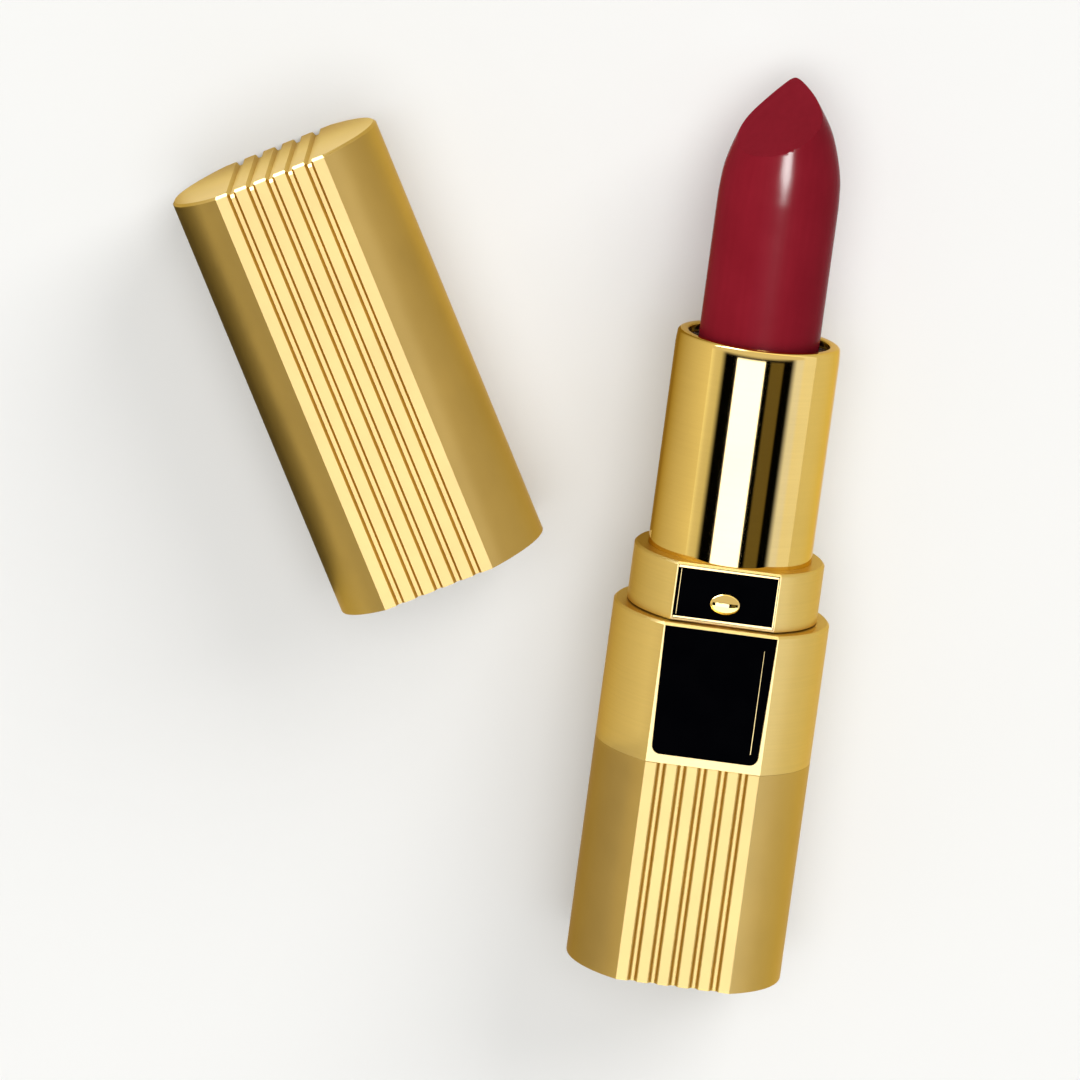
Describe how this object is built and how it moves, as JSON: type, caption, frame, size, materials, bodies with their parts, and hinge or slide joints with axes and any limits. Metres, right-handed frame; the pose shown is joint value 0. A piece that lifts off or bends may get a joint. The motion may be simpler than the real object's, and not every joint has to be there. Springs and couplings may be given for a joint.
{
  "type": "lipstick case",
  "caption": "Twist-up lipstick case lying on its back: ribbed base, plain shoulder, turning collar and tube with the lipstick raised, and a ribbed cap off beside it.",
  "frame": {"origin": "centre of the case's flat foot face", "axes": "+Y along the case's axis from the foot towards the lipstick's tip, +Z out of the front flat and up from the surface that the case and cap lie on, +X to the right"},
  "size_m": [0.0705, 0.0906, 0.02],
  "materials": {
    "ribbed_gold": "satin",
    "bright_gold": "satin",
    "polished_gold": "polished",
    "black_enamel": "gloss",
    "white_plastic": "matte",
    "dark_plastic": "matte",
    "weight_steel": "brushed",
    "red_wax": "satin"
  },
  "bodies": {
    "case": {"base_shell": "ribbed_gold", "shoulder_shell": "bright_gold", "shoulder_inlay_front": "black_enamel", "shoulder_inlay_back": "black_enamel", "foot_plate": "ribbed_gold", "base_weight": "weight_steel", "base_insert": "white_plastic", "inner_body": "dark_plastic", "slip_washer": "white_plastic"},
    "tube_unit": {"outer_tube": "polished_gold", "collar": "bright_gold", "collar_inlay_front": "black_enamel", "collar_inlay_back": "black_enamel", "snap_bead_front": "bright_gold", "snap_bead_back": "bright_gold", "spiral_sleeve": "white_plastic"},
    "elevator": {"elevator_cup": "white_plastic", "lipstick_bullet": "red_wax"},
    "cap": {"cap_shell": "ribbed_gold", "cap_liner": "white_plastic", "cap_weight": "weight_steel"}
  },
  "joints": [
    {"name": "tube_twist", "type": "hinge", "parent": "case", "child": "tube_unit", "pos_m": [0, 0, 0], "axis": [0, 1, 0], "range_deg": [0, 540]},
    {"name": "bullet_lift", "type": "slide", "parent": "case", "child": "elevator", "axis": [0, 1, 0], "range_m": [-0.026, 0]},
    {"name": "cap_slide", "type": "slide", "parent": "case", "child": "cap", "axis": [-0.4909, 0.8712, 0], "range_m": [-0.01, 0.012]}
  ],
  "couplings": [
    {"joint": "bullet_lift", "follows": "tube_twist", "m_per_rad": -0.0027587}
  ]
}
